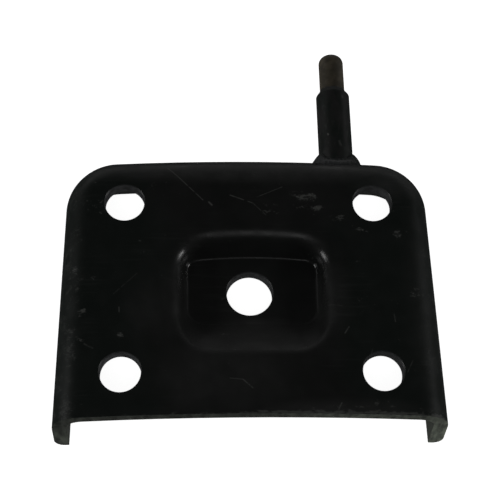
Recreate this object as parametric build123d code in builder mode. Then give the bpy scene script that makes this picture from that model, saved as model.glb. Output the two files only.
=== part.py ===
from build123d import *
import os
from math import radians, sin, sqrt, tan

# Motor mounting bracket: a pressed pan with three flanges, a drawn recess and a welded shouldered stud.
# Frame: X across the bracket, Y towards the stud, Z up. The origin is the centre of the four bolt holes,
# on the flat top face. All sizes are in millimetres, all angles in degrees.

# Sheet and outline of the pan, measured over the outside
sheet = 4.6                    # thickness of the steel
flange_height = 21.4           # top face down to the feet of the flanges
foot_width = 126.8             # over the side flanges at their feet, at the open front
pan_shift = -0.25              # middle of the pan, measured from the middle of the bolt holes
front_reach = 43.8             # origin to the middle of the trimmed front edge
front_hollow = 1.5             # how far the middle of the front edge stands back from its ends
rear_reach = 49.9              # origin to the foot of the rear flange, at its middle
rear_crown = 2.3               # bow of the rear flange over its full width
side_taper = 0.9               # each side flange leans in towards the rear, seen from above
corner_radius = 18.2           # rounded flanged corners at the rear, seen from above
bend_radius = 10.0             # outside radius where the top face rolls over into the flanges
lean_start = 8.0               # below this depth the fronts of the side flanges lean forward
front_lean = 11.0              # angle of that lean
foot_round = 3.6               # rounded outer edge of the feet

# Bolt holes and centre hole
hole_pitch_x = 84.0
hole_pitch_y = 60.0
bolt_hole_diameter = 13.2
centre_hole_diameter = 15.4
rim_break = 0.4                # upper rim of each hole, broken at 45 degrees

# Drawn recess
recess_depth = 8.0
recess_width = 43.6            # across the flat floor
recess_shift = 0.9             # middle of the floor, measured from the middle of the bolt holes
recess_front = 10.9            # origin to the front edge of the floor
recess_rear = 13.2             # origin to the rear edge of the floor, at its middle
floor_corner = 6.0             # plan radius of the floor's front corners
floor_back_corner = 3.6        # plan radius of the floor's rear corners
rim_corner = 11.0              # plan radius of the rim's front corners
rim_back_corner = 14.0         # plan radius of the rim's rear corners
rear_bow = 6.0                 # angle by which the bowed rear wall has turned where its corners start
side_slope = 70.0              # walls of the recess, measured from the floor
rear_slope = 56.5
front_slope = 31.5
rim_radius = 6.0               # soft roll where the top face dips into the recess
crease_radius = 1.1            # tight crease between the walls and the floor

# Shouldered stud and its weld
stud_x = 32.0                  # stud axis, right of the middle of the bolt holes
stud_drop = 11.5               # stud axis, below the top face
shoulder_diameter = 12.1
shoulder_length = 32.0         # flange to the far end of the shoulder
shoulder_cone = 2.4            # length of the cone that leads from the shoulder down to the tip
cone_round = 0.5               # soft edge where the shoulder meets that cone
tip_diameter = 9.0
tip_length = 15.0              # end of the shoulder to the far end of the stud
tip_round = 3.0
spigot_diameter = 9.6          # shank that passes through the rear flange
seat_step = 0.6                # how far the foot of the shoulder stands out beyond that shank
spigot_clearance = 0.1         # radial gap between the spigot and its hole
spigot_proud = 1.0             # how far the spigot shows inside the flange
spigot_chamfer = 0.5
weld_height = 6.4              # leg of the weld along the shoulder
weld_width = 3.0               # leg of the weld along the flange
weld_bulge = 0.5               # how far the bead swells over a straight fillet

# Values that follow from the ones above
overcut = 10.0                 # how far cutting shapes run past the metal
front_blank = front_reach + front_hollow + overcut
rear_corner_y = rear_reach - rear_crown
side_at_front = foot_width / 2 + tan(radians(side_taper)) * (front_blank - front_reach)
side_at_rear = foot_width / 2 - tan(radians(side_taper)) * (front_reach + rear_corner_y)
front_trim_radius = (foot_width / 2) ** 2 / (2 * front_hollow)
front_trim_centre = (pan_shift, -front_reach - front_trim_radius)
crown_radius = side_at_rear**2 / (2 * rear_crown) + rear_crown / 2
crown_at_stud = crown_radius - sqrt(crown_radius**2 - (stud_x - pan_shift) ** 2)
stud_face_y = rear_reach - crown_at_stud
seat_sink = bend_radius        # turned shapes start this deep, and the flange's surface trims them
shoulder_end = stud_face_y + shoulder_length
tip_end = shoulder_end + tip_length
root_diameter = spigot_diameter + 2 * seat_step
weld_top_y = stud_face_y + weld_height
spigot_end = stud_face_y - sheet - spigot_proud
stud_half_plane = Plane((stud_x, 0, -stud_drop))
stud_seat = Plane(origin=(stud_x, stud_face_y, -stud_drop), x_dir=(1, 0, 0), z_dir=(0, 1, 0))
stud_axis = Axis((stud_x, 0, -stud_drop), (0, 1, 0))


def recess_outline(height, side, rear, front, front_corner, back_corner):
    """Closed outline of the recess at one height, grown past the floor by side, rear and front."""
    half_width = recess_width / 2 + side
    left = recess_shift - half_width
    right = recess_shift + half_width
    bow_radius = back_corner + (half_width - back_corner) / sin(radians(rear_bow))
    rear_end = recess_rear + rear - bow_radius + sqrt(bow_radius**2 - half_width**2)
    with BuildSketch(Plane.XY.offset(height)) as outline:
        with BuildLine():
            Polyline(
                (left, rear_end),
                (left, -recess_front - front),
                (right, -recess_front - front),
                (right, rear_end),
            )
            ThreePointArc((right, rear_end), (recess_shift, recess_rear + rear), (left, rear_end))
        make_face()
        fillet(outline.vertices().group_by(Axis.Y)[0], front_corner)
        fillet(outline.vertices().group_by(Axis.Y)[-1], back_corner)
    return outline.sketch.face()


def pressed_form(skin):
    """Solid under the pressing's surface that lies a skin's thickness below the outside."""
    with BuildPart() as form:
        # Pan: rounded outline at the feet, drawn up and rolled over into the top face
        with BuildSketch(Plane((pan_shift, 0, -flange_height))) as foot:
            with BuildLine():
                Polyline(
                    (-side_at_rear, rear_corner_y),
                    (-side_at_front, -front_blank),
                    (side_at_front, -front_blank),
                    (side_at_rear, rear_corner_y),
                )
                ThreePointArc(
                    (side_at_rear, rear_corner_y), (0, rear_reach), (-side_at_rear, rear_corner_y)
                )
            make_face()
            fillet(foot.vertices().group_by(Axis.Y)[-1], corner_radius)
            if skin > 0:
                offset(amount=-skin, kind=Kind.INTERSECTION)
        extrude(amount=flange_height - skin)
        top_edges = form.faces().sort_by(Axis.Z)[-1].edges()
        fillet(top_edges.sort_by(Axis.Y)[1:], bend_radius - skin)

        # Recess: each wall moves out by its own share of the skin, so the sheet keeps its thickness
        side_out = skin * tan(radians(side_slope) / 2)
        rear_out = skin * tan(radians(rear_slope) / 2)
        front_out = skin * tan(radians(front_slope) / 2)
        rim = recess_outline(
            -skin,
            side_out + recess_depth / tan(radians(side_slope)),
            rear_out + recess_depth / tan(radians(rear_slope)),
            front_out + recess_depth / tan(radians(front_slope)),
            rim_corner + side_out,
            rim_back_corner + side_out,
        )
        floor = recess_outline(
            -skin - recess_depth,
            side_out,
            rear_out,
            front_out,
            floor_corner + side_out,
            floor_back_corner + side_out,
        )
        loft([rim, floor], ruled=True, mode=Mode.SUBTRACT)
        fillet(form.faces().sort_by(Axis.Z)[-1].inner_wires()[0].edges(), rim_radius - skin)
        fillet(form.faces().filter_by(Plane.XY).sort_by(Axis.Z)[-2].edges(), crease_radius + skin)
    return form.part


outside = pressed_form(0)
inside = pressed_form(sheet)

# Pressed plate
with BuildPart() as plate:
    add(outside)
    add(inside, mode=Mode.SUBTRACT)

    # Front trimmed to a shallow hollow curve; below the bends the side flanges lean forward
    with BuildSketch(Plane.XY.offset(overcut)):
        with Locations(front_trim_centre):
            Circle(front_trim_radius)
    extrude(amount=-overcut - lean_start, mode=Mode.SUBTRACT)
    with BuildSketch(Plane.XY.offset(-lean_start)):
        with Locations(front_trim_centre):
            Circle(front_trim_radius)
    extrude(amount=-flange_height, taper=front_lean, mode=Mode.SUBTRACT)
    foot_edges = plate.faces().sort_by(Axis.Z)[0].edges()
    fillet(foot_edges.sort_by(lambda edge: abs(edge.center().X))[-1], foot_round)

    # Four bolt holes and the centre hole, pierced from above, with broken upper rims
    with GridLocations(hole_pitch_x, hole_pitch_y, 2, 2):
        Hole(bolt_hole_diameter / 2, depth=2 * sheet)
    chamfer(plate.edges(Select.LAST).filter_by(GeomType.CIRCLE).group_by(Axis.Z)[-1], rim_break)
    with Locations((0, 0, -recess_depth)):
        Hole(centre_hole_diameter / 2, depth=2 * sheet)
    chamfer(plate.edges(Select.LAST).filter_by(GeomType.CIRCLE).group_by(Axis.Z)[-1], rim_break)

    # Hole in the rear flange for the spigot of the stud
    with BuildSketch(stud_seat):
        Circle(spigot_diameter / 2 + spigot_clearance)
    extrude(amount=2 * sheet, both=True, mode=Mode.SUBTRACT)

# Shouldered stud: its tapered foot sits on the rear flange, and its spigot passes through
with BuildPart() as stud:
    with BuildSketch(stud_half_plane):
        with BuildLine():
            Polyline(
                (0, stud_face_y - seat_sink),
                (root_diameter / 2, stud_face_y - seat_sink),
                (root_diameter / 2, stud_face_y),
                (shoulder_diameter / 2, weld_top_y),
                (shoulder_diameter / 2, shoulder_end - shoulder_cone),
                (tip_diameter / 2, shoulder_end),
                (tip_diameter / 2, tip_end),
                (0, tip_end),
                close=True,
            )
        make_face()
    revolve(axis=stud_axis)
    fillet(stud.faces().sort_by(Axis.Y)[-1].edges(), tip_round)
    middle_radius = (tip_diameter + shoulder_diameter) / 4
    shoulder_rims = stud.edges().filter_by(GeomType.CIRCLE).filter_by(lambda e: e.radius > middle_radius)
    fillet(shoulder_rims.sort_by(Axis.Y)[-1], cone_round)
    add(outside, mode=Mode.SUBTRACT)
    with BuildSketch(stud_half_plane):
        with BuildLine():
            Polyline(
                (0, spigot_end),
                (spigot_diameter / 2 - spigot_chamfer, spigot_end),
                (spigot_diameter / 2, spigot_end + spigot_chamfer),
                (spigot_diameter / 2, stud_face_y + seat_sink),
                (0, stud_face_y + seat_sink),
                close=True,
            )
        make_face()
    revolve(axis=stud_axis)

# Weld bead that fills the taper round the foot of the stud, ending on the outer surface of the flange
with BuildPart() as stud_weld:
    bead_top = Vector(shoulder_diameter / 2, weld_top_y)
    bead_toe = Vector(shoulder_diameter / 2 + weld_width, stud_face_y)
    with BuildSketch(stud_half_plane):
        with BuildLine():
            SagittaArc(bead_top, bead_toe, weld_bulge)
            Polyline(
                bead_toe,
                (bead_toe.X, stud_face_y - seat_sink),
                (root_diameter / 2, stud_face_y - seat_sink),
                (root_diameter / 2, stud_face_y),
                bead_top,
            )
        make_face()
    revolve(axis=stud_axis)
    add(outside, mode=Mode.SUBTRACT)

# One STEP file for each piece
os.makedirs("parts", exist_ok=True)
for name, piece in (("plate", plate), ("stud", stud), ("stud_weld", stud_weld)):
    piece.part.label = name
    export_step(piece.part, f"parts/{name}.step")
    volume = round(piece.part.volume, 1)
    print(name, "valid", piece.part.is_valid, "solids", len(piece.part.solids()), "volume", volume)
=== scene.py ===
"""Visual model of a motor mounting bracket: a painted steel pressing with a welded shouldered stud.

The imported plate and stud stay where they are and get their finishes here. A hand-laid weld bead
takes the place of the plain one. A floor, soft studio lights and the camera complete the scene.
Lengths are in metres unless said otherwise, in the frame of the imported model: X across
the bracket, Y towards the stud, Z up, with the origin between the bolt holes. Angles are in degrees.
"""

import logging
import math
from collections.abc import Callable
from dataclasses import dataclass, field
from enum import Enum

import bpy
from mathutils import Matrix, Vector


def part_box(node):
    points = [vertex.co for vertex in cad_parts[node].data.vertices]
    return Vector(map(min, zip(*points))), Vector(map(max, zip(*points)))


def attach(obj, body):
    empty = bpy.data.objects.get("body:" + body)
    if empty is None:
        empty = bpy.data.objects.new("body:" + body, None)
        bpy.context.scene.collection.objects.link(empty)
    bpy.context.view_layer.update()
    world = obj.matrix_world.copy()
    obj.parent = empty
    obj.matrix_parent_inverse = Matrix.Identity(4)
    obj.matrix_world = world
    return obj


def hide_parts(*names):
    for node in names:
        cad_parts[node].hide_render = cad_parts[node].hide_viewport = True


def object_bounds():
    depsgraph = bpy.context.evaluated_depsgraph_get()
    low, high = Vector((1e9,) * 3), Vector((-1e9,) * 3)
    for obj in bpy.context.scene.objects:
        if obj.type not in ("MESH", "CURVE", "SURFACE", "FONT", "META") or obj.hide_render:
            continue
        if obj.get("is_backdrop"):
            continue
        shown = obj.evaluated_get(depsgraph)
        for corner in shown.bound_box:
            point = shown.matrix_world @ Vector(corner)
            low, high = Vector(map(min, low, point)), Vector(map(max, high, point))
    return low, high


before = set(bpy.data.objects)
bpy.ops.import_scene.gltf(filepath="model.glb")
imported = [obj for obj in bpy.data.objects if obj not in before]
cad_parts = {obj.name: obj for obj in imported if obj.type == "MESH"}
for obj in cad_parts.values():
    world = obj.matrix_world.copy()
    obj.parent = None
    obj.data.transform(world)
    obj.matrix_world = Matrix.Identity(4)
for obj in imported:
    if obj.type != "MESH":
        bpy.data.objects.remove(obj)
CAD_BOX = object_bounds()

BODY = "root"
MM = 0.001

log = logging.getLogger("bracket")

Socket = bpy.types.NodeSocket
Pair = tuple[float, float]
Triple = tuple[float, float, float]

# A smooth change: value that gives its start, value that gives its end, start and end; in metres
Ramp = tuple[float, float, float, float]

# Spans of a noise's value that give soft clouds, and patches with a clearer outline
CLOUDY = (0.30, 0.70)
PATCHY = (0.35, 0.65)


class Shade(Enum):
    """Base colours of the finishes, as linear red, green and blue."""

    ENAMEL = (0.0092, 0.0098, 0.0094)
    ENAMEL_GREEN = (0.0086, 0.0112, 0.0098)
    ENAMEL_WORN = (0.0150, 0.0152, 0.0148)
    SCRATCH = (0.105, 0.108, 0.102)
    # Lighter colour of the dulled patches: a painted sheen that stands in for reflected light
    DULLED = (0.0265, 0.0270, 0.0262)
    SCUFF = (0.060, 0.063, 0.060)
    THIN_ENAMEL = (0.046, 0.048, 0.050)
    # Grey of thin enamel on the hole walls, also the weld bead's enamel, where the lighter tone is a
    # painted highlight
    THIN_ENAMEL_DARK = (0.026, 0.027, 0.028)
    SHEARED_STEEL = (0.160, 0.185, 0.140)
    # Grey of the sheared steel, also used as the pale painted light inside the ends of the flanges
    SHEARED_GREY = (0.050, 0.055, 0.046)
    SHEARED_DARK = (0.010, 0.011, 0.0095)
    STUD_BROWN = (0.064, 0.054, 0.038)
    STUD_BROWN_DARK = (0.036, 0.031, 0.022)
    FLOOR = (0.90, 0.90, 0.90)


class Graph:
    """Node tree of one material, with short calls for the nodes that the finishes share.

    It holds the place on the bracket with its X, Y and Z, the place with its height taken out, and
    the direction that the surface faces.
    """

    def __init__(self, name: str) -> None:
        """Starts an empty node tree.

        Args:
            name: Name of the new material.
        """
        self.material = bpy.data.materials.new(name)
        self.material.use_nodes = True
        self.tree = self.material.node_tree
        self.tree.nodes.clear()
        coordinates = self.tree.nodes.new("ShaderNodeTexCoord").outputs
        self.place, self.normal = coordinates["Object"], coordinates["Normal"]
        self.x, self.y, self.z = (self.axis(self.place, name) for name in "XYZ")
        self.flat_place = self.vector("MULTIPLY", self.place, (1, 1, 0))

    def feed(self, socket: Socket, value: Socket | float | tuple) -> None:
        """Links a socket to an input, or sets the input to a plain value.

        Args:
            socket: The input.
            value: A socket to link, or the value to set.
        """
        if isinstance(value, bpy.types.NodeSocket):
            self.tree.links.new(value, socket)
        else:
            socket.default_value = value

    def axis(self, vector: Socket, name: str) -> Socket:
        """Takes a vector apart.

        Args:
            vector: The vector.
            name: X, Y or Z.

        Returns:
            That part of it.
        """
        node = self.tree.nodes.new("ShaderNodeSeparateXYZ")
        self.feed(node.inputs[0], vector)
        return node.outputs[name]

    def math(self, operation: str, *terms: Socket | float, clamp: bool = False) -> Socket:
        """Adds a Math node.

        Args:
            operation: Name of the operation.
            terms: Its one, two or three terms.
            clamp: Whether the result is kept between 0 and 1.

        Returns:
            The result.
        """
        node = self.tree.nodes.new("ShaderNodeMath")
        node.operation = operation
        node.use_clamp = clamp
        for socket, term in zip(node.inputs, terms):
            self.feed(socket, term)
        return node.outputs["Value"]

    def join(self, operation: str, *terms: Socket | float) -> Socket:
        """Joins numbers by one operation, from left to right.

        Args:
            operation: Name of the operation.
            terms: One or more numbers.

        Returns:
            The result.
        """
        joined = terms[0]
        for term in terms[1:]:
            joined = self.math(operation, joined, term)
        return joined

    def weigh(self, share: float, first: Socket, second: Socket) -> Socket:
        """Returns the mean of two numbers, with the given share of the second."""
        return self.math("MULTIPLY_ADD", first, 1.0 - share, self.math("MULTIPLY", second, share))

    def vector(self, operation: str, *terms: Socket | tuple, output: str = "Vector") -> Socket:
        """Adds a Vector Math node.

        Args:
            operation: Name of the operation.
            terms: Its vectors.
            output: Name of the output to give back.

        Returns:
            That output.
        """
        node = self.tree.nodes.new("ShaderNodeVectorMath")
        node.operation = operation
        for socket, term in zip(node.inputs, terms):
            self.feed(socket, term)
        return node.outputs[output]

    def scaled(self, vector: Socket | tuple, factor: Socket | float) -> Socket:
        """Scales a vector.

        Args:
            vector: The vector.
            factor: The factor.

        Returns:
            The scaled vector.
        """
        node = self.tree.nodes.new("ShaderNodeVectorMath")
        node.operation = "SCALE"
        self.feed(node.inputs[0], vector)
        self.feed(node.inputs["Scale"], factor)
        return node.outputs["Vector"]

    def noise(
        self, size: float, detail: float = 3.0, stretch: Triple = (1, 1, 1), rough: float = 0.5
    ) -> Socket:
        """Adds a noise on Object coordinates.

        Args:
            size: Size of its largest features, in metres.
            detail: Number of finer octaves.
            stretch: How much finer it is along X, Y and Z.
            rough: Strength of the finer octaves.

        Returns:
            The noise, about 0.5 in the mean.
        """
        node = self.tree.nodes.new("ShaderNodeTexNoise")
        self.feed(node.inputs["Vector"], self.vector("MULTIPLY", self.place, stretch))
        node.inputs["Scale"].default_value = 1.0 / size
        node.inputs["Detail"].default_value = detail
        node.inputs["Roughness"].default_value = rough
        return node.outputs["Fac"]

    def ease(self, value: Socket, low: float, high: float, start: float = 0.0, end: float = 1.0) -> Socket:
        """Maps a value smoothly from one range to another.

        Args:
            value: What is mapped.
            low: Value that gives start.
            high: Value that gives end.
            start: Result at and below low.
            end: Result at and above high.

        Returns:
            The mapped value.
        """
        node = self.tree.nodes.new("ShaderNodeMapRange")
        node.interpolation_type = "SMOOTHSTEP"
        self.feed(node.inputs["Value"], value)
        for name, bound in (("From Min", low), ("From Max", high), ("To Min", start), ("To Max", end)):
            node.inputs[name].default_value = bound
        return node.outputs["Result"]

    def blend(self, factor: Socket | float, first: Socket | Triple, second: Socket | Triple) -> Socket:
        """Mixes two colours.

        Args:
            factor: Share of the second colour.
            first: First colour.
            second: Second colour.

        Returns:
            The mixed colour.
        """
        node = self.tree.nodes.new("ShaderNodeMix")
        node.data_type = "RGBA"
        self.feed(node.inputs[0], factor)
        for socket, colour in ((node.inputs[6], first), (node.inputs[7], second)):
            self.feed(socket, colour if isinstance(colour, bpy.types.NodeSocket) else (*colour, 1.0))
        return node.outputs[2]

    def bump(self, height: Socket, depth: float) -> Socket:
        """Turns a height between 0 and 1 into a bumped normal.

        Args:
            height: The height.
            depth: Real depth of the relief, in metres.

        Returns:
            The normal.
        """
        node = self.tree.nodes.new("ShaderNodeBump")
        node.inputs["Strength"].default_value = 1.0
        node.inputs["Distance"].default_value = depth
        self.feed(node.inputs["Height"], height)
        return node.outputs["Normal"]

    def shader(self, constants: dict[str, float], **linked: Socket) -> bpy.types.Material:
        """Ends the tree in a Principled shader.

        Args:
            constants: Values set on the shader's own sockets.
            linked: Sockets linked to the shader, by input name with spaces as underscores.

        Returns:
            The finished material.
        """
        shader = self.tree.nodes.new("ShaderNodeBsdfPrincipled")
        output = self.tree.nodes.new("ShaderNodeOutputMaterial")
        for name, value in constants.items():
            shader.inputs[name].default_value = value
        for name, socket in linked.items():
            self.tree.links.new(socket, shader.inputs[name.replace("_", " ")])
        self.tree.links.new(shader.outputs["BSDF"], output.inputs["Surface"])
        return self.material


class Coat:
    """Colour, roughness and relief of a painted surface, built up layer by layer."""

    def __init__(self, graph: Graph, colour: Socket, rough: Socket, relief: Socket) -> None:
        """Starts with the clean paint.

        Args:
            graph: The node tree.
            colour: Colour of the paint.
            rough: Its roughness.
            relief: Its fine relief.
        """
        self.graph = graph
        self.colour = colour
        self.rough = rough
        self.relief = relief

    def lay(
        self, mask: Socket, colour: Socket | Triple | None = None, rougher: float = 0.0, worn: float = 0.0
    ) -> None:
        """Lays one layer over what is there.

        Args:
            mask: Where the layer lies, from 0 to 1.
            colour: Its colour, or None to leave the colour.
            rougher: How much rougher it is than what lies below.
            worn: How much lower it is, as a share of the relief.
        """
        if colour is not None:
            self.colour = self.graph.blend(mask, self.colour, colour)
        if rougher:
            self.rough = self.graph.math("MULTIPLY_ADD", mask, rougher, self.rough)
        if worn:
            self.relief = self.graph.math("SUBTRACT", self.relief, self.graph.math("MULTIPLY", mask, worn))

    def gloss(self, mask: Socket, rough: float) -> None:
        """Brings the roughness to one value where the mask is 1."""
        change = self.graph.math("SUBTRACT", rough, self.rough)
        self.rough = self.graph.math("MULTIPLY_ADD", mask, change, self.rough)

    def material(self, specular: float, depth: float) -> bpy.types.Material:
        """Ends the tree.

        Args:
            specular: Specular level of the surface.
            depth: Real depth of the relief, in metres.

        Returns:
            The finished material.
        """
        return self.graph.shader(
            {"Specular IOR Level": specular, "Metallic": 0.0},
            Base_Color=self.colour,
            Roughness=self.rough,
            Normal=self.graph.bump(self.relief, depth),
        )


@dataclass(frozen=True)
class Scratch:
    """One straight scratch in the enamel of a face that looks up.

    Attributes:
        start: X and Y of one end, in millimetres.
        end: X and Y of the other end, in millimetres.
        width: Full width, in millimetres.
        strength: How far it is worn through, from 0 to 1.
    """

    start: Pair
    end: Pair
    width: float
    strength: float

    def mask(self, graph: Graph) -> Socket:
        """Draws the scratch.

        Args:
            graph: The node tree.

        Returns:
            A mask that is 0 away from the scratch.
        """
        start = Vector((*self.start, 0)) * MM
        reach = Vector((*self.end, 0)) * MM - start
        offset = graph.vector("SUBTRACT", graph.flat_place, tuple(start))
        along = graph.vector("DOT_PRODUCT", offset, tuple(reach / reach.length_squared), output="Value")
        nearest = graph.scaled(tuple(reach), graph.math("ADD", along, 0.0, clamp=True))
        gap = graph.vector("DISTANCE", offset, nearest, output="Value")
        return graph.ease(gap, 0.0, self.width * MM, self.strength, 0.0)


@dataclass(frozen=True)
class Patch:
    """A soft oval patch on a face that looks up.

    Attributes:
        centre: X and Y of its middle, in millimetres.
        reach: Half its width along X and Y, in millimetres.
        strength: How strong it is in the middle.
        core: Share of its reach over which it stays that strong.
    """

    centre: Pair
    reach: Pair
    strength: float
    core: float = 0.0

    def mask(self, graph: Graph) -> Socket:
        """Draws the patch.

        Args:
            graph: The node tree.

        Returns:
            A mask that is the strength in its middle and 0 away from it.
        """
        offset = graph.vector("SUBTRACT", graph.flat_place, (self.centre[0] * MM, self.centre[1] * MM, 0.0))
        shape = (1 / (self.reach[0] * MM), 1 / (self.reach[1] * MM), 0.0)
        gap = graph.vector("LENGTH", graph.vector("MULTIPLY", offset, shape), output="Value")
        return graph.ease(gap, self.core, 1.0, self.strength, 0.0)


@dataclass(frozen=True)
class Scuff(Patch):
    """A patch of fine rub marks in the enamel."""


@dataclass(frozen=True)
class SheenHaze(Patch):
    """A broad patch where the enamel is dulled, and lightened as a painted sheen that stands in for
    reflected light.

    Attributes:
        core: Share of its reach over which it stays at full strength.
    """

    core: float = 0.2


@dataclass(frozen=True)
class Marks:
    """Scratches and scuffs that handling left in the enamel.

    Attributes:
        scratches: The scratches.
        scuffs: The patches of rub marks.
        broken: Ramp from the noise to how much of a scratch shows there.
        fine: Share of the finer rub marks.
        lift: How much more rub marks the middle of a scuff shows.
        rubbed: Ramp from the noise to how far the enamel is rubbed through.
    """

    scratches: tuple[Scratch, ...]
    scuffs: tuple[Scuff, ...]
    broken: Ramp = (0.30, 0.54, 0.0, 1.0)
    fine: float = 0.28
    lift: float = 0.22
    rubbed: Ramp = (0.64, 0.76, 0.0, 0.55)

    def mask(self, graph: Graph) -> Socket:
        """Draws the marks.

        Args:
            graph: The node tree.

        Returns:
            Their mask, from 0 to 1.
        """
        broken = graph.ease(graph.noise(1.6 * MM, 2.0), *self.broken)
        lines = graph.join("MAXIMUM", *(scratch.mask(graph) for scratch in self.scratches))
        coarse = graph.noise(3.4 * MM, 4.0, (0.8, 1.3, 1.0), 0.62)
        fine = graph.noise(0.8 * MM, 2.0, (1.0, 1.6, 1.0))
        patches = graph.join("MAXIMUM", *(scuff.mask(graph) for scuff in self.scuffs))
        rubs = graph.math("MULTIPLY_ADD", patches, self.lift, graph.weigh(self.fine, coarse, fine))
        rubs = graph.ease(rubs, *self.rubbed)
        return graph.math("MAXIMUM", graph.math("MULTIPLY", lines, broken), rubs)


@dataclass(frozen=True)
class RubbedBends:
    """Smudges and specks on the side bends, more of them on the left.

    Attributes:
        near: Ramp from the distance from the middle to how much more wear a bend shows.
        left: Ramp from X to how much more wear the left side shows.
        grit: Share of the grit in the smudges.
        smudged: Ramp from the smudges' noise to how far the enamel is worn through.
        weight: Weight of the specks' noise.
        specked: Ramp from the specks' noise to how far the enamel is worn through.
    """

    near: Ramp = (48 * MM, 60 * MM, 0.0, 0.155)
    left: Ramp = (-20 * MM, 20 * MM, 0.03, 0.0)
    grit: float = 0.34
    smudged: Ramp = (0.71, 0.85, 0.0, 0.24)
    weight: float = 0.7
    specked: Ramp = (0.59, 0.71, 0.0, 0.32)

    def mask(self, graph: Graph) -> Socket:
        """Draws the wear.

        Args:
            graph: The node tree.

        Returns:
            Its mask, from 0 to 1.
        """
        near = graph.ease(graph.math("ABSOLUTE", graph.x), *self.near)
        left = graph.ease(graph.x, *self.left)
        smudges = graph.noise(7 * MM, 5.0, (0.8, 1.5, 1.0), 0.68)
        grit = graph.noise(0.7 * MM, 2.0, (0.7, 1.3, 1.0))
        smudges = graph.join("ADD", graph.weigh(self.grit, smudges, grit), near, left)
        specks = graph.noise(2.6 * MM, 5.0, (0.8, 1.2, 1.0), 0.72)
        specks = graph.join("ADD", graph.math("MULTIPLY_ADD", specks, self.weight, near), left, left)
        return graph.math("MAXIMUM", graph.ease(smudges, *self.smudged), graph.ease(specks, *self.specked))


@dataclass(frozen=True)
class Recess:
    """Where the enamel pooled and where it was polished, in the drawn recess.

    Attributes:
        pools: The glossy pools in the rear corners of its floor.
        low: Ramp from Z to how much of a pool shows.
        gloss: Roughness of a pool.
        middle: X of the middle of the recess.
        begins: Ramp from the distance from its middle to the polish at a rim's inner side.
        ends: The same at its outer side.
        wall: Ramp from Z to the polish above a side wall.
        roll: Ramp from Z to the polish next to the flat.
        length: Ramp from Y to the polish, which is in the rear part only.
        polish: How much smoother a polished rim is.
    """

    pools: tuple[Patch, ...] = (
        Patch((-20.4, 9.3), (2.6, 5.5), 1.6),
        Patch((22.2, 9.3), (2.6, 5.5), 1.6),
    )
    low: Ramp = (-5.6 * MM, -4.8 * MM, 1.0, 0.0)
    gloss: float = 0.15
    middle: float = 0.9 * MM
    begins: Ramp = (20 * MM, 23 * MM, 0.0, 1.0)
    ends: Ramp = (30 * MM, 33 * MM, 1.0, 0.0)
    wall: Ramp = (-6.0 * MM, -4.5 * MM, 0.0, 1.0)
    roll: Ramp = (-1.6 * MM, 0.0, 1.0, 0.0)
    length: Ramp = (-16 * MM, -4 * MM, 0.0, 1.0)
    polish: float = 0.12

    def pooled(self, graph: Graph) -> Socket:
        """Draws the pools.

        Args:
            graph: The node tree.

        Returns:
            A mask that is 1 in a pool.
        """
        spots = graph.join("MAXIMUM", *(pool.mask(graph) for pool in self.pools))
        return graph.math("MULTIPLY", spots, graph.ease(graph.z, *self.low), clamp=True)

    def polished(self, graph: Graph) -> Socket:
        """Draws the side rims, polished by what slid over them.

        Args:
            graph: The node tree.

        Returns:
            A mask that is 1 on a polished rim.
        """
        across = graph.math("ABSOLUTE", graph.math("SUBTRACT", graph.x, self.middle))
        return graph.join(
            "MULTIPLY",
            graph.ease(across, *self.begins),
            graph.ease(across, *self.ends),
            graph.ease(graph.y, *self.length),
            graph.ease(graph.z, *self.wall),
            graph.ease(graph.z, *self.roll),
        )


@dataclass(frozen=True)
class PiercedHoles:
    """Walls of the pierced holes, where the enamel is thin and grey.

    Attributes:
        corner: Place of a corner hole; they lie the same way in each quarter.
        corner_reach: Radius around a corner hole that takes in its wall.
        centre_reach: Radius around the centre hole that takes in its wall.
        thicker: Ramp from X to the share of full enamel.
        rougher: How much rougher the walls are.
    """

    corner: Triple = (42.0 * MM, 30.0 * MM, 0.0)
    corner_reach: float = 6.85 * MM
    centre_reach: float = 7.95 * MM
    thicker: Ramp = (-20 * MM, 0.0, 0.0, 0.38)
    rougher: float = 0.14

    def walls(self, graph: Graph) -> Socket:
        """Draws the walls of the holes.

        Args:
            graph: The node tree.

        Returns:
            A mask that is 1 on a wall.
        """
        quarter = graph.vector("ABSOLUTE", graph.flat_place)
        from_corner = graph.vector("DISTANCE", quarter, self.corner, output="Value")
        from_centre = graph.vector("LENGTH", quarter, output="Value")
        return graph.math(
            "MAXIMUM",
            graph.math("LESS_THAN", from_corner, self.corner_reach),
            graph.math("LESS_THAN", from_centre, self.centre_reach),
        )

    def paint(self, graph: Graph, full: Triple) -> Socket:
        """Draws the colour of the walls.

        Args:
            graph: The node tree.
            full: Colour of the enamel at full thickness.

        Returns:
            The colour.
        """
        patches = graph.ease(graph.noise(2 * MM), *PATCHY)
        thin = graph.blend(patches, Shade.THIN_ENAMEL_DARK.value, Shade.THIN_ENAMEL.value)
        return graph.blend(graph.ease(graph.x, *self.thicker), thin, full)


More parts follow.
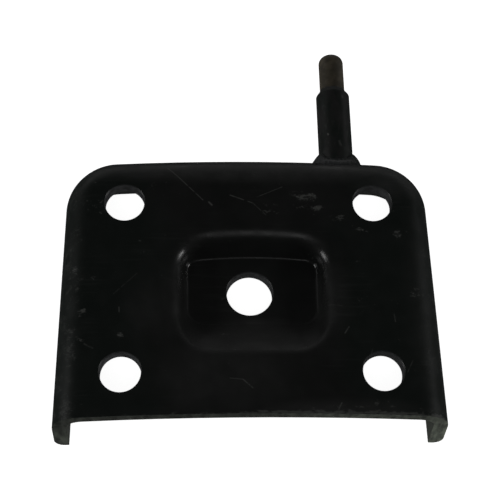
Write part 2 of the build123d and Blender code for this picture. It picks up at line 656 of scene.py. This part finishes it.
@dataclass(frozen=True)
class FrontEdge:
    """Front of the plate, where the sheet was sheared and the flanges end.

    Attributes:
        middle: Y of the middle of the front edge.
        hollow: How far the edge comes forward towards its ends, on the square of X.
        sheared_before: Y in front of which faces that look forward are sheared.
        near: Ramp from the distance behind the edge to how much more chips there are.
        right: Ramp from X to how much more chips there are.
        chipped: Ramp from the noise to how far the enamel is chipped through.
        inward: Ramp from how far a face looks outwards to its share of the pale grey painted light.
        thin: Ramp from Y to how strong the painted light inside the flanges is.
        floor_light_rougher: How much rougher the enamel under that painted light is.
        forward: Ramp from how far a face looks to the rear to how far it is sheared.
        pale: Ramp from X to the paleness of the sheared steel.
        ear: Ramp from Z to how much of that paleness shows.
        foot: Ramp from Z to what is added to the paleness.
        sheared_rougher: How much rougher the sheared steel is.
    """

    middle: float = -43.8 * MM
    hollow: float = 0.373
    sheared_before: float = -35.0 * MM
    near: Ramp = (0.3 * MM, 1.7 * MM, 0.22, 0.0)
    right: Ramp = (-55 * MM, 30 * MM, -0.20, 0.05)
    chipped: Ramp = (0.62, 0.76, 0.0, 0.42)
    inward: Ramp = (-0.9, -0.6, 1.0, 0.0)
    thin: Ramp = (-42 * MM, -34 * MM, 0.85, 0.0)
    floor_light_rougher: float = 0.2
    forward: Ramp = (-0.95, -0.90, 1.0, 0.0)
    pale: Ramp = (-30 * MM, 55 * MM, 0.0, 1.0)
    ear: Ramp = (-8.0 * MM, -4.0 * MM, 1.0, 0.30)
    foot: Ramp = (-18.0 * MM, -8.0 * MM, 0.40, 0.05)
    sheared_rougher: float = 0.16

    def chips(self, graph: Graph) -> Socket:
        """Draws the enamel chipped off just behind the edge, more of it on the right.

        Args:
            graph: The node tree.

        Returns:
            Its mask, from 0 to 1.
        """
        hollow = graph.join("MULTIPLY", graph.x, graph.x, self.hollow)
        behind = graph.math("SUBTRACT", graph.math("ADD", graph.y, hollow), self.middle)
        lift = graph.math("ADD", graph.ease(behind, *self.near), graph.ease(graph.x, *self.right))
        chips = graph.math("ADD", graph.noise(1.8 * MM, 4.0, (0.6, 1.4, 1.0), 0.65), lift)
        chips = graph.ease(chips, *self.chipped)
        upward = graph.ease(graph.axis(graph.normal, "Z"), 0.5, 0.7)
        return graph.join("MULTIPLY", chips, upward, graph.math("LESS_THAN", behind, 3 * MM))

    def painted_floor_light(self, graph: Graph) -> Socket:
        """Draws pale grey on the inner faces of the flanges at their ends, as painted light from the floor.

        Args:
            graph: The node tree.

        Returns:
            Its mask, from 0 to 1.
        """
        inward = graph.math("MULTIPLY", graph.axis(graph.normal, "X"), graph.math("SIGN", graph.x))
        return graph.math("MULTIPLY", graph.ease(inward, *self.inward), graph.ease(graph.y, *self.thin))

    def sheared(self, graph: Graph) -> Socket:
        """Returns a mask that is 1 on the sheared faces."""
        forward = graph.ease(graph.axis(graph.normal, "Y"), *self.forward)
        return graph.math("MULTIPLY", forward, graph.math("LESS_THAN", graph.y, self.sheared_before))

    def steel(self, graph: Graph) -> Socket:
        """Draws the smeared steel of the sheared faces, dark on the left and pale on the right.

        Args:
            graph: The node tree.

        Returns:
            The colour.
        """
        streaks = graph.ease(graph.noise(1.6 * MM, 4.0, (1.0, 1.0, 0.3), 0.6), *CLOUDY)
        faint = graph.math("MULTIPLY", streaks, 0.5)
        dark = graph.blend(faint, Shade.SHEARED_DARK.value, Shade.SHEARED_GREY.value)
        pale = graph.blend(streaks, Shade.SHEARED_GREY.value, Shade.SHEARED_STEEL.value)
        paleness = graph.math("MULTIPLY", graph.ease(graph.x, *self.pale), graph.ease(graph.z, *self.ear))
        paleness = graph.math("ADD", paleness, graph.ease(graph.z, *self.foot))
        return graph.blend(graph.math("MINIMUM", paleness, 1.0), dark, pale)


@dataclass(frozen=True)
class Enamel:
    """Semi-gloss black enamel, with the wear that each piece shows.

    Attributes:
        name: Name of the material.
        roughness: Roughness of the smoothest and the roughest clean enamel.
        grain: Strength of the enamel's fine relief, from 0 to 1.
        base: Colour of the clean enamel.
        marks: Scratches and scuffs in it, or None on a piece without them.
        bends: Wear on the side bends, or None on a piece without bends.
        sheen_hazes: Broad dulled patches in it, lightened with a painted sheen.
        holes: Holes pierced in it, or None on a piece without them.
        recess: Recess in it, or None on a piece without one.
        front: Its sheared front edge, or None on a piece without one.
    """

    name: str
    roughness: Pair = (0.29, 0.40)
    grain: float = 0.35
    base: Triple = Shade.ENAMEL.value
    marks: Marks | None = None
    bends: RubbedBends | None = None
    sheen_hazes: tuple[SheenHaze, ...] = ()
    holes: PiercedHoles | None = None
    recess: Recess | None = None
    front: FrontEdge | None = None

    def colours(self, graph: Graph) -> Socket:
        """Draws the clean enamel's colour: cloudy, and a little greener towards the sides.

        Args:
            graph: The node tree.

        Returns:
            The colour.
        """
        clouds = graph.ease(graph.noise(34 * MM, 2.0), 0.38, 0.62, 0.0, 0.5)
        colour = graph.blend(clouds, self.base, Shade.ENAMEL_WORN.value)
        side = graph.math("MULTIPLY_ADD", graph.noise(26 * MM), 40 * MM, graph.math("ABSOLUTE", graph.x))
        green = graph.ease(side, 42 * MM, 62 * MM, 0.0, 0.85)
        return graph.blend(green, colour, Shade.ENAMEL_GREEN.value)

    def dulled_and_sheen(self, graph: Graph) -> Socket:
        """Draws the broad dulled patches, which also carry the painted sheen.

        Args:
            graph: The node tree.

        Returns:
            Their mask, from 0 to 1.
        """
        patches = graph.join("MAXIMUM", *(haze.mask(graph) for haze in self.sheen_hazes))
        mottle = graph.ease(graph.noise(5 * MM, 4.0), *CLOUDY, 0.8, 1.2)
        return graph.math("MULTIPLY", patches, mottle, clamp=True)

    def hairlines(self, graph: Graph) -> Socket:
        """Draws the faint hairlines of a sheet that slid over others.

        Args:
            graph: The node tree.

        Returns:
            Their mask, from 0 to 1.
        """
        lines = graph.ease(graph.noise(0.9 * MM, 2.0, (0.04, 1.0, 1.0)), 0.54, 0.68)
        patches = graph.ease(graph.noise(22 * MM, 2.0), 0.48, 0.66)
        return graph.join("MULTIPLY", lines, patches, 0.10)

    def material(self) -> bpy.types.Material:
        """Lays the coat with all its wear.

        Returns:
            The finished material.
        """
        graph = Graph(self.name)
        coat = Coat(
            graph,
            self.colours(graph),
            graph.ease(graph.noise(7 * MM), *CLOUDY, *self.roughness),
            graph.math("MULTIPLY", graph.noise(1.4 * MM, 2.0), self.grain),
        )
        if self.sheen_hazes:
            # Dulls the enamel in the broad patches and lightens it there with a painted sheen
            coat.lay(self.dulled_and_sheen(graph), Shade.DULLED.value, rougher=0.24)
        if self.holes:
            coat.lay(self.holes.walls(graph), self.holes.paint(graph, self.base), self.holes.rougher)
        coat.lay(self.hairlines(graph), Shade.SCUFF.value)
        wear = [source.mask(graph) for source in (self.marks, self.bends) if source]
        if wear:
            coat.lay(graph.join("MAXIMUM", *wear), Shade.SCRATCH.value, rougher=0.22, worn=0.9)
        if self.recess:
            coat.lay(self.recess.polished(graph), rougher=-self.recess.polish)
            coat.gloss(self.recess.pooled(graph), self.recess.gloss)
        if self.front:
            coat.lay(self.front.chips(graph), Shade.SCRATCH.value)
            # Pale grey inside the ends of the flanges: painted light from the floor
            coat.lay(self.front.painted_floor_light(graph), Shade.SHEARED_GREY.value, self.front.floor_light_rougher)
            coat.lay(self.front.sheared(graph), self.front.steel(graph), self.front.sheared_rougher)
        return coat.material(specular=0.25, depth=0.05 * MM)


@dataclass(frozen=True)
class StudFinish:
    """Enamel up to the stud's cone, and bare brown steel on its tip.

    Attributes:
        name: Name of the material.
        paint_ends: Y at which the enamel ends.
        ragged: How far its end wanders.
        fade: Distances past its end over which the steel comes through.
        cone: Length of the cone below that, where the enamel is dull.
        chips: Chips in the enamel of its upper side.
    """

    name: str
    paint_ends: float
    ragged: float = 0.8 * MM
    fade: Pair = (0.2 * MM, 0.7 * MM)
    cone: float = 2.4 * MM
    chips: tuple[Scratch, ...] = (
        Scratch((28.9, 60.8), (29.0, 60.4), 0.45, 0.90),
        Scratch((32.7, 57.4), (33.3, 55.9), 0.60, 0.30),
        Scratch((34.8, 76.6), (34.9, 75.9), 0.60, 0.28),
    )

    def enamel(self, graph: Graph) -> Socket:
        """Draws the enamel of the shoulder, cloudy, rubbed and chipped.

        Args:
            graph: The node tree.

        Returns:
            The colour.
        """
        cloud = graph.ease(graph.noise(5 * MM, 3.0, (1.6, 0.5, 1.6)), *PATCHY)
        enamel = graph.blend(cloud, Shade.ENAMEL_GREEN.value, Shade.ENAMEL_WORN.value)
        rubs = graph.ease(graph.noise(1.3 * MM, 4.0, (1.4, 0.35, 1.4), 0.65), 0.56, 0.72, 0.0, 0.30)
        enamel = graph.blend(rubs, enamel, Shade.SCUFF.value)
        for chip in self.chips:
            enamel = graph.blend(chip.mask(graph), enamel, Shade.SCRATCH.value)
        return enamel

    def material(self) -> bpy.types.Material:
        """Lays the enamel and bares the tip.

        Returns:
            The finished material.
        """
        graph = Graph(self.name)
        coat = Coat(
            graph,
            self.enamel(graph),
            graph.ease(graph.noise(4 * MM), *CLOUDY, 0.34, 0.44),
            graph.math("MULTIPLY", graph.noise(0.5 * MM, 2.0, (0.05, 1.0, 0.05)), 0.3),
        )
        ragged = graph.math("MULTIPLY_ADD", graph.noise(1.5 * MM), self.ragged, graph.y)
        bare = graph.ease(ragged, *(self.paint_ends + reach for reach in self.fade))
        brown = graph.ease(graph.noise(3 * MM, 4.0), *PATCHY)
        brown = graph.blend(brown, Shade.STUD_BROWN_DARK.value, Shade.STUD_BROWN.value)
        coat.lay(bare, brown, rougher=0.08)
        cone_begins = self.paint_ends - self.cone
        cone = graph.ease(graph.y, cone_begins - 0.3 * MM, cone_begins)
        coat.lay(graph.math("SUBTRACT", cone, bare, clamp=True), rougher=0.25)
        return coat.material(specular=0.28, depth=0.03 * MM)


@dataclass(frozen=True)
class FloorFinish:
    """Plain pale table top, lit a little from below like a light table.

    Attributes:
        name: Name of the material.
        glow: Light that it gives off by itself.
    """

    name: str = "floor_matt"
    glow: float = 1.06

    def material(self) -> bpy.types.Material:
        """Returns the finished material."""
        graph = Graph(self.name)
        patches = graph.ease(graph.noise(0.4, 2.0), 0.2, 0.8)
        dark = tuple(0.99 * part for part in Shade.FLOOR.value)
        colour = graph.blend(patches, Shade.FLOOR.value, dark)
        constants = {"Roughness": 0.9, "Specular IOR Level": 0.0, "Emission Strength": self.glow}
        return graph.shader(constants, Base_Color=colour, Emission_Color=colour)


class Piece:
    """Short calls that shape one new mesh with Blender's own operators."""

    def __init__(self, name: str) -> None:
        """Takes the mesh that was just added.

        Args:
            name: Name of the piece.
        """
        self.item = bpy.context.active_object
        self.item.name = name
        self.item.data.name = name

    @staticmethod
    def clear() -> None:
        """Deselects everything, so that an operator acts only on what is added next."""
        bpy.ops.object.select_all(action="DESELECT")

    def pick(self, chosen: Callable[[Vector], bool]) -> None:
        """Selects the points that a test accepts, and leaves the mesh in edit mode.

        Args:
            chosen: Test of a point's place.
        """
        bpy.ops.object.mode_set(mode="EDIT")
        bpy.ops.mesh.select_mode(type="VERT")
        bpy.ops.mesh.select_all(action="DESELECT")
        bpy.ops.object.mode_set(mode="OBJECT")
        for vertex in self.item.data.vertices:
            vertex.select = chosen(vertex.co)
        bpy.ops.object.mode_set(mode="EDIT")

    def modify(self, kind: str, **settings: float | int | bool | str) -> None:
        """Adds a modifier and applies it.

        Args:
            kind: Type of the modifier.
            settings: Its settings.
        """
        modifier = self.item.modifiers.new(kind.lower(), kind)
        for name, value in settings.items():
            setattr(modifier, name, value)
        bpy.context.view_layer.objects.active = self.item
        bpy.ops.object.modifier_apply(modifier=modifier.name)

    def settle(self) -> bpy.types.Object:
        """Moves the object's place into its mesh.

        Returns:
            The object, at the origin, unturned and unscaled.
        """
        Piece.clear()
        self.item.select_set(True)
        bpy.context.view_layer.objects.active = self.item
        bpy.ops.object.transform_apply(location=True, rotation=True, scale=True)
        return self.item


@dataclass
class PressedPlate:
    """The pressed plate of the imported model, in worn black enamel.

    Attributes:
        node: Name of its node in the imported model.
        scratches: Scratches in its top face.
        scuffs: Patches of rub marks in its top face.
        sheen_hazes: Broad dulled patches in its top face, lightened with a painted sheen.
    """

    node: str = "plate"
    scratches: tuple[Scratch, ...] = (
        Scratch((-27.6, 43.6), (-15.6, 31.0), 0.27, 0.46),
        Scratch((-13.6, 30.2), (-12.6, 29.1), 0.54, 0.56),
        Scratch((-6.4, 32.9), (1.3, 29.9), 0.29, 0.53),
        Scratch((1.3, 29.9), (5.6, 25.4), 0.23, 0.37),
        Scratch((2.7, 32.2), (11.4, 36.1), 0.23, 0.37),
        Scratch((-44.9, -3.4), (-37.3, 4.0), 0.22, 0.22),
        Scratch((-7.2, -32.2), (-3.1, -32.6), 0.25, 0.31),
        Scratch((-3.1, -32.6), (0.0, -35.5), 0.32, 0.43),
        Scratch((26.6, -43.2), (28.0, -40.6), 0.36, 0.50),
        Scratch((30.2, -17.1), (31.6, -15.0), 0.36, 0.43),
        Scratch((25.6, -6.7), (30.0, -7.7), 0.22, 0.19),
        Scratch((49.7, -30.4), (51.7, -26.4), 0.27, 0.28),
        Scratch((-36.9, 15.8), (-35.2, 15.4), 0.41, 0.37),
        Scratch((-42.9, -8.0), (-42.8, -9.6), 0.36, 0.37),
        Scratch((46.7, -10.6), (46.9, -13.2), 0.31, 0.31),
        Scratch((-50.9, -22.0), (-53.6, -20.6), 0.40, 0.30),
        Scratch((38.0, -25.2), (38.9, -22.6), 0.26, 0.24),
    )
    scuffs: tuple[Scuff, ...] = (
        Scuff((19.0, 31.5), (8.0, 6.5), 1.0),
        Scuff((23.0, 28.0), (6.0, 3.5), 0.9),
        Scuff((6.5, 27.0), (6.5, 5.5), 0.75),
        Scuff((31.0, 23.5), (6.0, 3.0), 0.8),
        Scuff((36.5, 20.0), (5.0, 4.0), 0.7),
        Scuff((50.4, 19.2), (5.0, 3.0), 1.0),
        Scuff((53.5, 22.5), (2.4, 2.6), 0.9),
        Scuff((36.7, -5.6), (4.6, 2.2), 0.9),
        Scuff((-33.0, 35.0), (7.0, 5.0), 0.55),
        Scuff((-52.0, 28.0), (7.0, 7.0), 0.7),
        Scuff((-42.3, -17.6), (2.4, 2.4), 0.9),
        Scuff((-51.3, 2.0), (3.0, 2.4), 0.8),
        Scuff((-54.2, -9.6), (4.0, 2.6), 1.0),
        Scuff((-55.5, -19.2), (7.0, 2.2), 0.85),
        Scuff((-58.0, -2.0), (4.5, 9.0), 0.6),
        Scuff((-57.9, 5.0), (4.0, 3.6), 0.85),
        Scuff((-9.2, -1.5), (2.4, 4.2), 0.8),
        Scuff((54.0, -3.0), (5.0, 4.0), 0.55),
        Scuff((46.9, -11.9), (2.4, 2.8), 0.7),
        Scuff((41.0, -41.0), (7.0, 3.0), 0.45),
        Scuff((-8.0, -15.5), (5.0, 2.0), 0.6),
    )
    # Broad dulled patches, lightened with a painted sheen on the recess walls, its rims and the bends
    sheen_hazes: tuple[SheenHaze, ...] = (
        SheenHaze((-10.0, -31.0), (30.0, 19.0), 0.33),
        SheenHaze((26.0, -43.0), (38.0, 5.0), 0.38),
        SheenHaze((1.0, -13.8), (24.0, 6.5), 0.70),
        SheenHaze((-34.0, -9.0), (12.0, 15.0), 0.28),
        SheenHaze((-25.5, -5.0), (8.0, 18.0), 0.30),
        SheenHaze((27.5, -5.0), (8.0, 18.0), 0.26),
        SheenHaze((0.0, 42.8), (95.0, 6.8), 0.70),
        SheenHaze((50.0, 40.0), (18.0, 11.0), 0.55),
        SheenHaze((56.0, -6.0), (8.0, 48.0), 0.22),
        SheenHaze((63.0, -8.0), (2.4, 46.0), 1.00),
    )

    def dress(self) -> bpy.types.Object:
        """Paints the plate.

        Returns:
            The plate's object.
        """
        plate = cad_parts[self.node]
        finish = Enamel(
            "plate_enamel",
            marks=Marks(self.scratches, self.scuffs),
            bends=RubbedBends(),
            sheen_hazes=self.sheen_hazes,
            holes=PiercedHoles(),
            recess=Recess(),
            front=FrontEdge(),
        )
        plate.data.materials.clear()
        plate.data.materials.append(finish.material())
        log.info("%s: painted", self.node)
        return plate


@dataclass
class ShoulderedStud:
    """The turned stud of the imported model, with a painted shoulder and a bare tip.

    Attributes:
        node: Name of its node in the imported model.
        tip_length: Length of its bare tip.
    """

    node: str = "stud"
    tip_length: float = 15.0 * MM

    def dress(self) -> bpy.types.Object:
        """Paints the stud.

        Returns:
            The stud's object.
        """
        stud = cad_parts[self.node]
        paint_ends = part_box(self.node)[1].y - self.tip_length
        stud.data.materials.clear()
        stud.data.materials.append(StudFinish("stud_finish", paint_ends).material())
        log.info("%s: painted up to Y %.1f mm", self.node, paint_ends / MM)
        return stud


@dataclass
class WeldBead:
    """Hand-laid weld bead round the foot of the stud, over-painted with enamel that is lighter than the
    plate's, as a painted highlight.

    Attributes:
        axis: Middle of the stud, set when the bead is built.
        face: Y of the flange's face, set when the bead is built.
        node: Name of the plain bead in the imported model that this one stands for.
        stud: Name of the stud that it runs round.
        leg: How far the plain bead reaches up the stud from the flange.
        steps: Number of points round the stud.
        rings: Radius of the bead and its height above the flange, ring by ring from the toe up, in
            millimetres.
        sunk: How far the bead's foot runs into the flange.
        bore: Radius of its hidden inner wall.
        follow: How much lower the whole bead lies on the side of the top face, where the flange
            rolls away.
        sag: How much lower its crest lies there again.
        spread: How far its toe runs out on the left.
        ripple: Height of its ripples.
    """

    axis: Vector = field(init=False)
    face: float = field(init=False)
    node: str = "stud_weld"
    stud: str = "stud"
    leg: float = 6.4 * MM
    steps: int = 96
    rings: tuple[Pair, ...] = (
        (8.85, 0.0),
        (8.55, 1.0),
        (8.05, 2.3),
        (7.35, 3.8),
        (6.60, 5.2),
        (6.10, 5.9),
        (5.70, 6.1),
    )
    sunk: float = 4.1 * MM
    bore: float = 5.0 * MM
    follow: float = 3.2 * MM
    sag: float = 1.6 * MM
    spread: float = 0.6 * MM
    ripple: float = 0.16 * MM

    def build(self) -> bpy.types.Object:
        """Models the bead, dresses it and lets it stand for the plain one.

        Returns:
            The bead's object.
        """
        low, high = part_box(self.stud)
        self.axis = (low + high) / 2
        self.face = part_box(self.node)[1].y - self.leg
        Piece.clear()
        bpy.ops.mesh.primitive_circle_add(
            vertices=self.steps,
            radius=self.bore,
            location=(self.axis.x, self.face - self.sunk, self.axis.z),
            rotation=(math.radians(90), 0, 0),
        )
        piece = Piece("weld_bead")
        piece.settle()
        self.raise_rings(piece)
        self.sway(piece)
        self.lay_ripples(piece)
        piece.modify("SUBSURF", levels=1, render_levels=1)
        bpy.ops.object.shade_smooth()
        # The bead's enamel is lighter than the plate's: a painted highlight
        finish = Enamel("weld_enamel_highlit", (0.31, 0.42), grain=0.9, base=Shade.THIN_ENAMEL_DARK.value)
        piece.item.data.materials.append(finish.material())
        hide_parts(self.node)
        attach(piece.item, BODY)
        log.info("%s: %d faces", piece.item.name, len(piece.item.data.polygons))
        return piece.item

    def radius(self, place: Vector) -> float:
        """Returns a point's distance from the stud's axis."""
        return math.hypot(place.x - self.axis.x, place.z - self.axis.z)

    def raise_rings(self, piece: Piece) -> None:
        """Extrudes the closed section of the bead, ring by ring.

        Args:
            piece: The circle that is its inner foot.
        """
        radius, height = self.bore, -self.sunk
        foot = (self.rings[0][0], -self.sunk / MM)
        inner = (self.bore / MM, self.rings[-1][1] - 0.6)
        bpy.ops.object.mode_set(mode="EDIT")
        bpy.ops.mesh.select_all(action="SELECT")
        for step in (foot, *self.rings, inner):
            wide, up = step[0] * MM, step[1] * MM
            bpy.ops.mesh.extrude_edges_move(TRANSFORM_OT_translate={"value": (0, up - height, 0)})
            bpy.ops.transform.resize(
                value=(wide / radius, 1, wide / radius),
                center_override=(self.axis.x, self.face + up, self.axis.z),
            )
            radius, height = wide, up
        bpy.ops.mesh.select_mode(type="EDGE")
        bpy.ops.mesh.select_all(action="DESELECT")
        bpy.ops.mesh.select_non_manifold()
        bpy.ops.mesh.bridge_edge_loops()
        bpy.ops.mesh.select_all(action="SELECT")
        bpy.ops.mesh.normals_make_consistent(inside=False)
        bpy.ops.object.mode_set(mode="OBJECT")

    def sway(self, piece: Piece) -> None:
        """Lowers the bead towards the top face and spreads its toe on the left.

        Args:
            piece: The bead.
        """
        for floor, half, drop, reach in (
            (-0.5 * MM, 0.5 * MM, self.follow, 9.0 * MM),
            (self.rings[-3][1] * MM - self.follow - 0.6 * MM, 3.6 * MM, self.sag, 3.2 * MM),
        ):
            piece.pick(
                lambda place: place.y > self.face + floor
                and place.z > self.axis.z
                and abs(place.x - self.axis.x) < half
            )
            bpy.ops.transform.translate(
                value=(0, -drop, 0),
                use_proportional_edit=True,
                proportional_edit_falloff="SMOOTH",
                proportional_size=reach,
            )
        toe = self.rings[0][0] * MM
        piece.pick(
            lambda place: place.x < self.axis.x - toe + 0.2 * MM and place.y > self.face - 0.5 * MM
        )
        bpy.ops.transform.translate(
            value=(-self.spread, 0, 0),
            use_proportional_edit=True,
            proportional_edit_falloff="SMOOTH",
            proportional_size=5.0 * MM,
        )
        bpy.ops.object.mode_set(mode="OBJECT")

    def lay_ripples(self, piece: Piece) -> None:
        """Raises every third row of points into the ripples that a weld cools in.

        Args:
            piece: The bead.
        """
        pitch = 2 * math.pi / self.steps
        piece.pick(
            lambda place: self.radius(place) > self.bore + 1.2 * MM
            and round(math.atan2(place.z - self.axis.z, place.x - self.axis.x) / pitch) % 3 == 0
        )
        bpy.ops.transform.shrink_fatten(value=self.ripple)
        bpy.ops.object.mode_set(mode="OBJECT")


@dataclass
class StudioFloor:
    """A pale floor under the bracket's feet.

    Attributes:
        width: Length of its sides.
    """

    width: float = 12.0

    def build(self) -> bpy.types.Object:
        """Builds the floor, marks it as part of the stage and dresses it.

        Returns:
            The floor's object.
        """
        Piece.clear()
        bpy.ops.mesh.primitive_plane_add(size=self.width, location=(0, 0, CAD_BOX[0].z))
        floor = Piece("floor").settle()
        floor.data.materials.append(FloorFinish().material())
        floor.visible_glossy = False
        floor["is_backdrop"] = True
        log.info("floor: at Z %.1f mm", CAD_BOX[0].z / MM)
        return floor


@dataclass(frozen=True)
class SoftBox:
    """One soft studio light.

    Attributes:
        name: Name of the light.
        azimuth: Direction from the bracket, from +X towards +Y.
        elevation: Height above the floor.
        distance: Distance from the bracket.
        size: Width and height of its face.
        power: Its power, in watts.
    """

    name: str
    azimuth: float
    elevation: float
    distance: float
    size: Pair
    power: float

    def build(self) -> bpy.types.Object:
        """Adds the light, turned towards the bracket.

        Returns:
            The light's object.
        """
        turn, lift = math.radians(self.azimuth), math.radians(self.elevation)
        direction = Vector(
            (math.cos(lift) * math.cos(turn), math.cos(lift) * math.sin(turn), math.sin(lift))
        )
        data = bpy.data.lights.new(self.name, "AREA")
        data.shape = "RECTANGLE"
        data.size, data.size_y = self.size
        data.energy = self.power
        light = bpy.data.objects.new(self.name, data)
        light.location = direction * self.distance
        light.rotation_euler = direction.to_track_quat("Z", "Y").to_euler()
        bpy.context.scene.collection.objects.link(light)
        return light


@dataclass
class Studio:
    """Lights and surroundings.

    Attributes:
        surroundings: Strength of the even grey world.
        lights: The lights.
    """

    surroundings: float = 0.02
    lights: tuple[SoftBox, ...] = (
        SoftBox("light_left", 185.0, 22.0, 1.4, (0.4, 0.3), 5.0),
        SoftBox("light_right", -5.0, 22.0, 1.4, (0.4, 0.3), 4.6),
        SoftBox("light_front", 262.0, 62.0, 1.2, (0.5, 0.5), 1.25),
        SoftBox("light_rear", 90.0, 20.0, 2.0, (2.4, 1.0), 0.85),
        SoftBox("light_rear_low", 90.0, 3.0, 2.0, (2.4, 0.5), 2.1),
        SoftBox("light_corner", 46.0, 8.0, 1.6, (0.7, 0.4), 0.35),
        SoftBox("light_far_corner", 130.0, 12.0, 1.6, (0.8, 0.6), 0.40),
    )

    def build(self) -> None:
        """Adds the lights and an even grey world."""
        world = bpy.data.worlds.new("studio")
        world.use_nodes = True
        background = world.node_tree.nodes["Background"]
        background.inputs["Color"].default_value = (1.0, 1.0, 1.0, 1.0)
        background.inputs["Strength"].default_value = self.surroundings
        bpy.context.scene.world = world
        for light in self.lights:
            light.build()
        bpy.context.scene.view_settings.view_transform = "Standard"
        log.info("studio: %d lights", len(self.lights))


@dataclass(frozen=True)
class Viewpoint:
    """Camera that looks down on the bracket from in front.

    Attributes:
        place: Where the camera stands.
        turn: How far it is turned to the right, seen from above.
        drop: How far it looks down.
        tilt: How far it is rolled.
        lens: Focal length, in millimetres on a 36 mm sensor.
    """

    place: Triple = (-0.01894, -0.15082, 0.35671)
    turn: float = 6.613
    drop: float = 65.269
    tilt: float = 6.077
    lens: float = 84.985

    def build(self) -> bpy.types.Object:
        """Adds the camera and makes it the scene's own.

        Returns:
            The camera's object.
        """
        data = bpy.data.cameras.new("camera")
        data.lens = self.lens
        data.sensor_width = 36.0
        data.clip_start = 0.01
        camera = bpy.data.objects.new("camera", data)
        turned = Matrix.Rotation(math.radians(-self.turn), 4, "Z")
        lowered = Matrix.Rotation(math.radians(90 - self.drop), 4, "X")
        rolled = Matrix.Rotation(math.radians(self.tilt), 4, "Z")
        camera.matrix_world = Matrix.Translation(self.place) @ turned @ lowered @ rolled
        bpy.context.scene.collection.objects.link(camera)
        bpy.context.scene.camera = camera
        log.info("camera: %.0f degrees down", self.drop)
        return camera


def write_sizes() -> None:
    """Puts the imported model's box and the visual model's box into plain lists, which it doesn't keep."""
    boxes = {"cad": CAD_BOX, "visual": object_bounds()}
    plain = {name: [list(corner) for corner in box] for name, box in boxes.items()}


def main() -> None:
    """Builds the scene in order and reports each piece."""
    logging.basicConfig(level=logging.INFO, format="%(name)s: %(message)s")
    Viewpoint().build()
    PressedPlate().dress()
    ShoulderedStud().dress()
    WeldBead().build()
    StudioFloor().build()
    Studio().build()
    write_sizes()


if __name__ == "__main__":
    main()
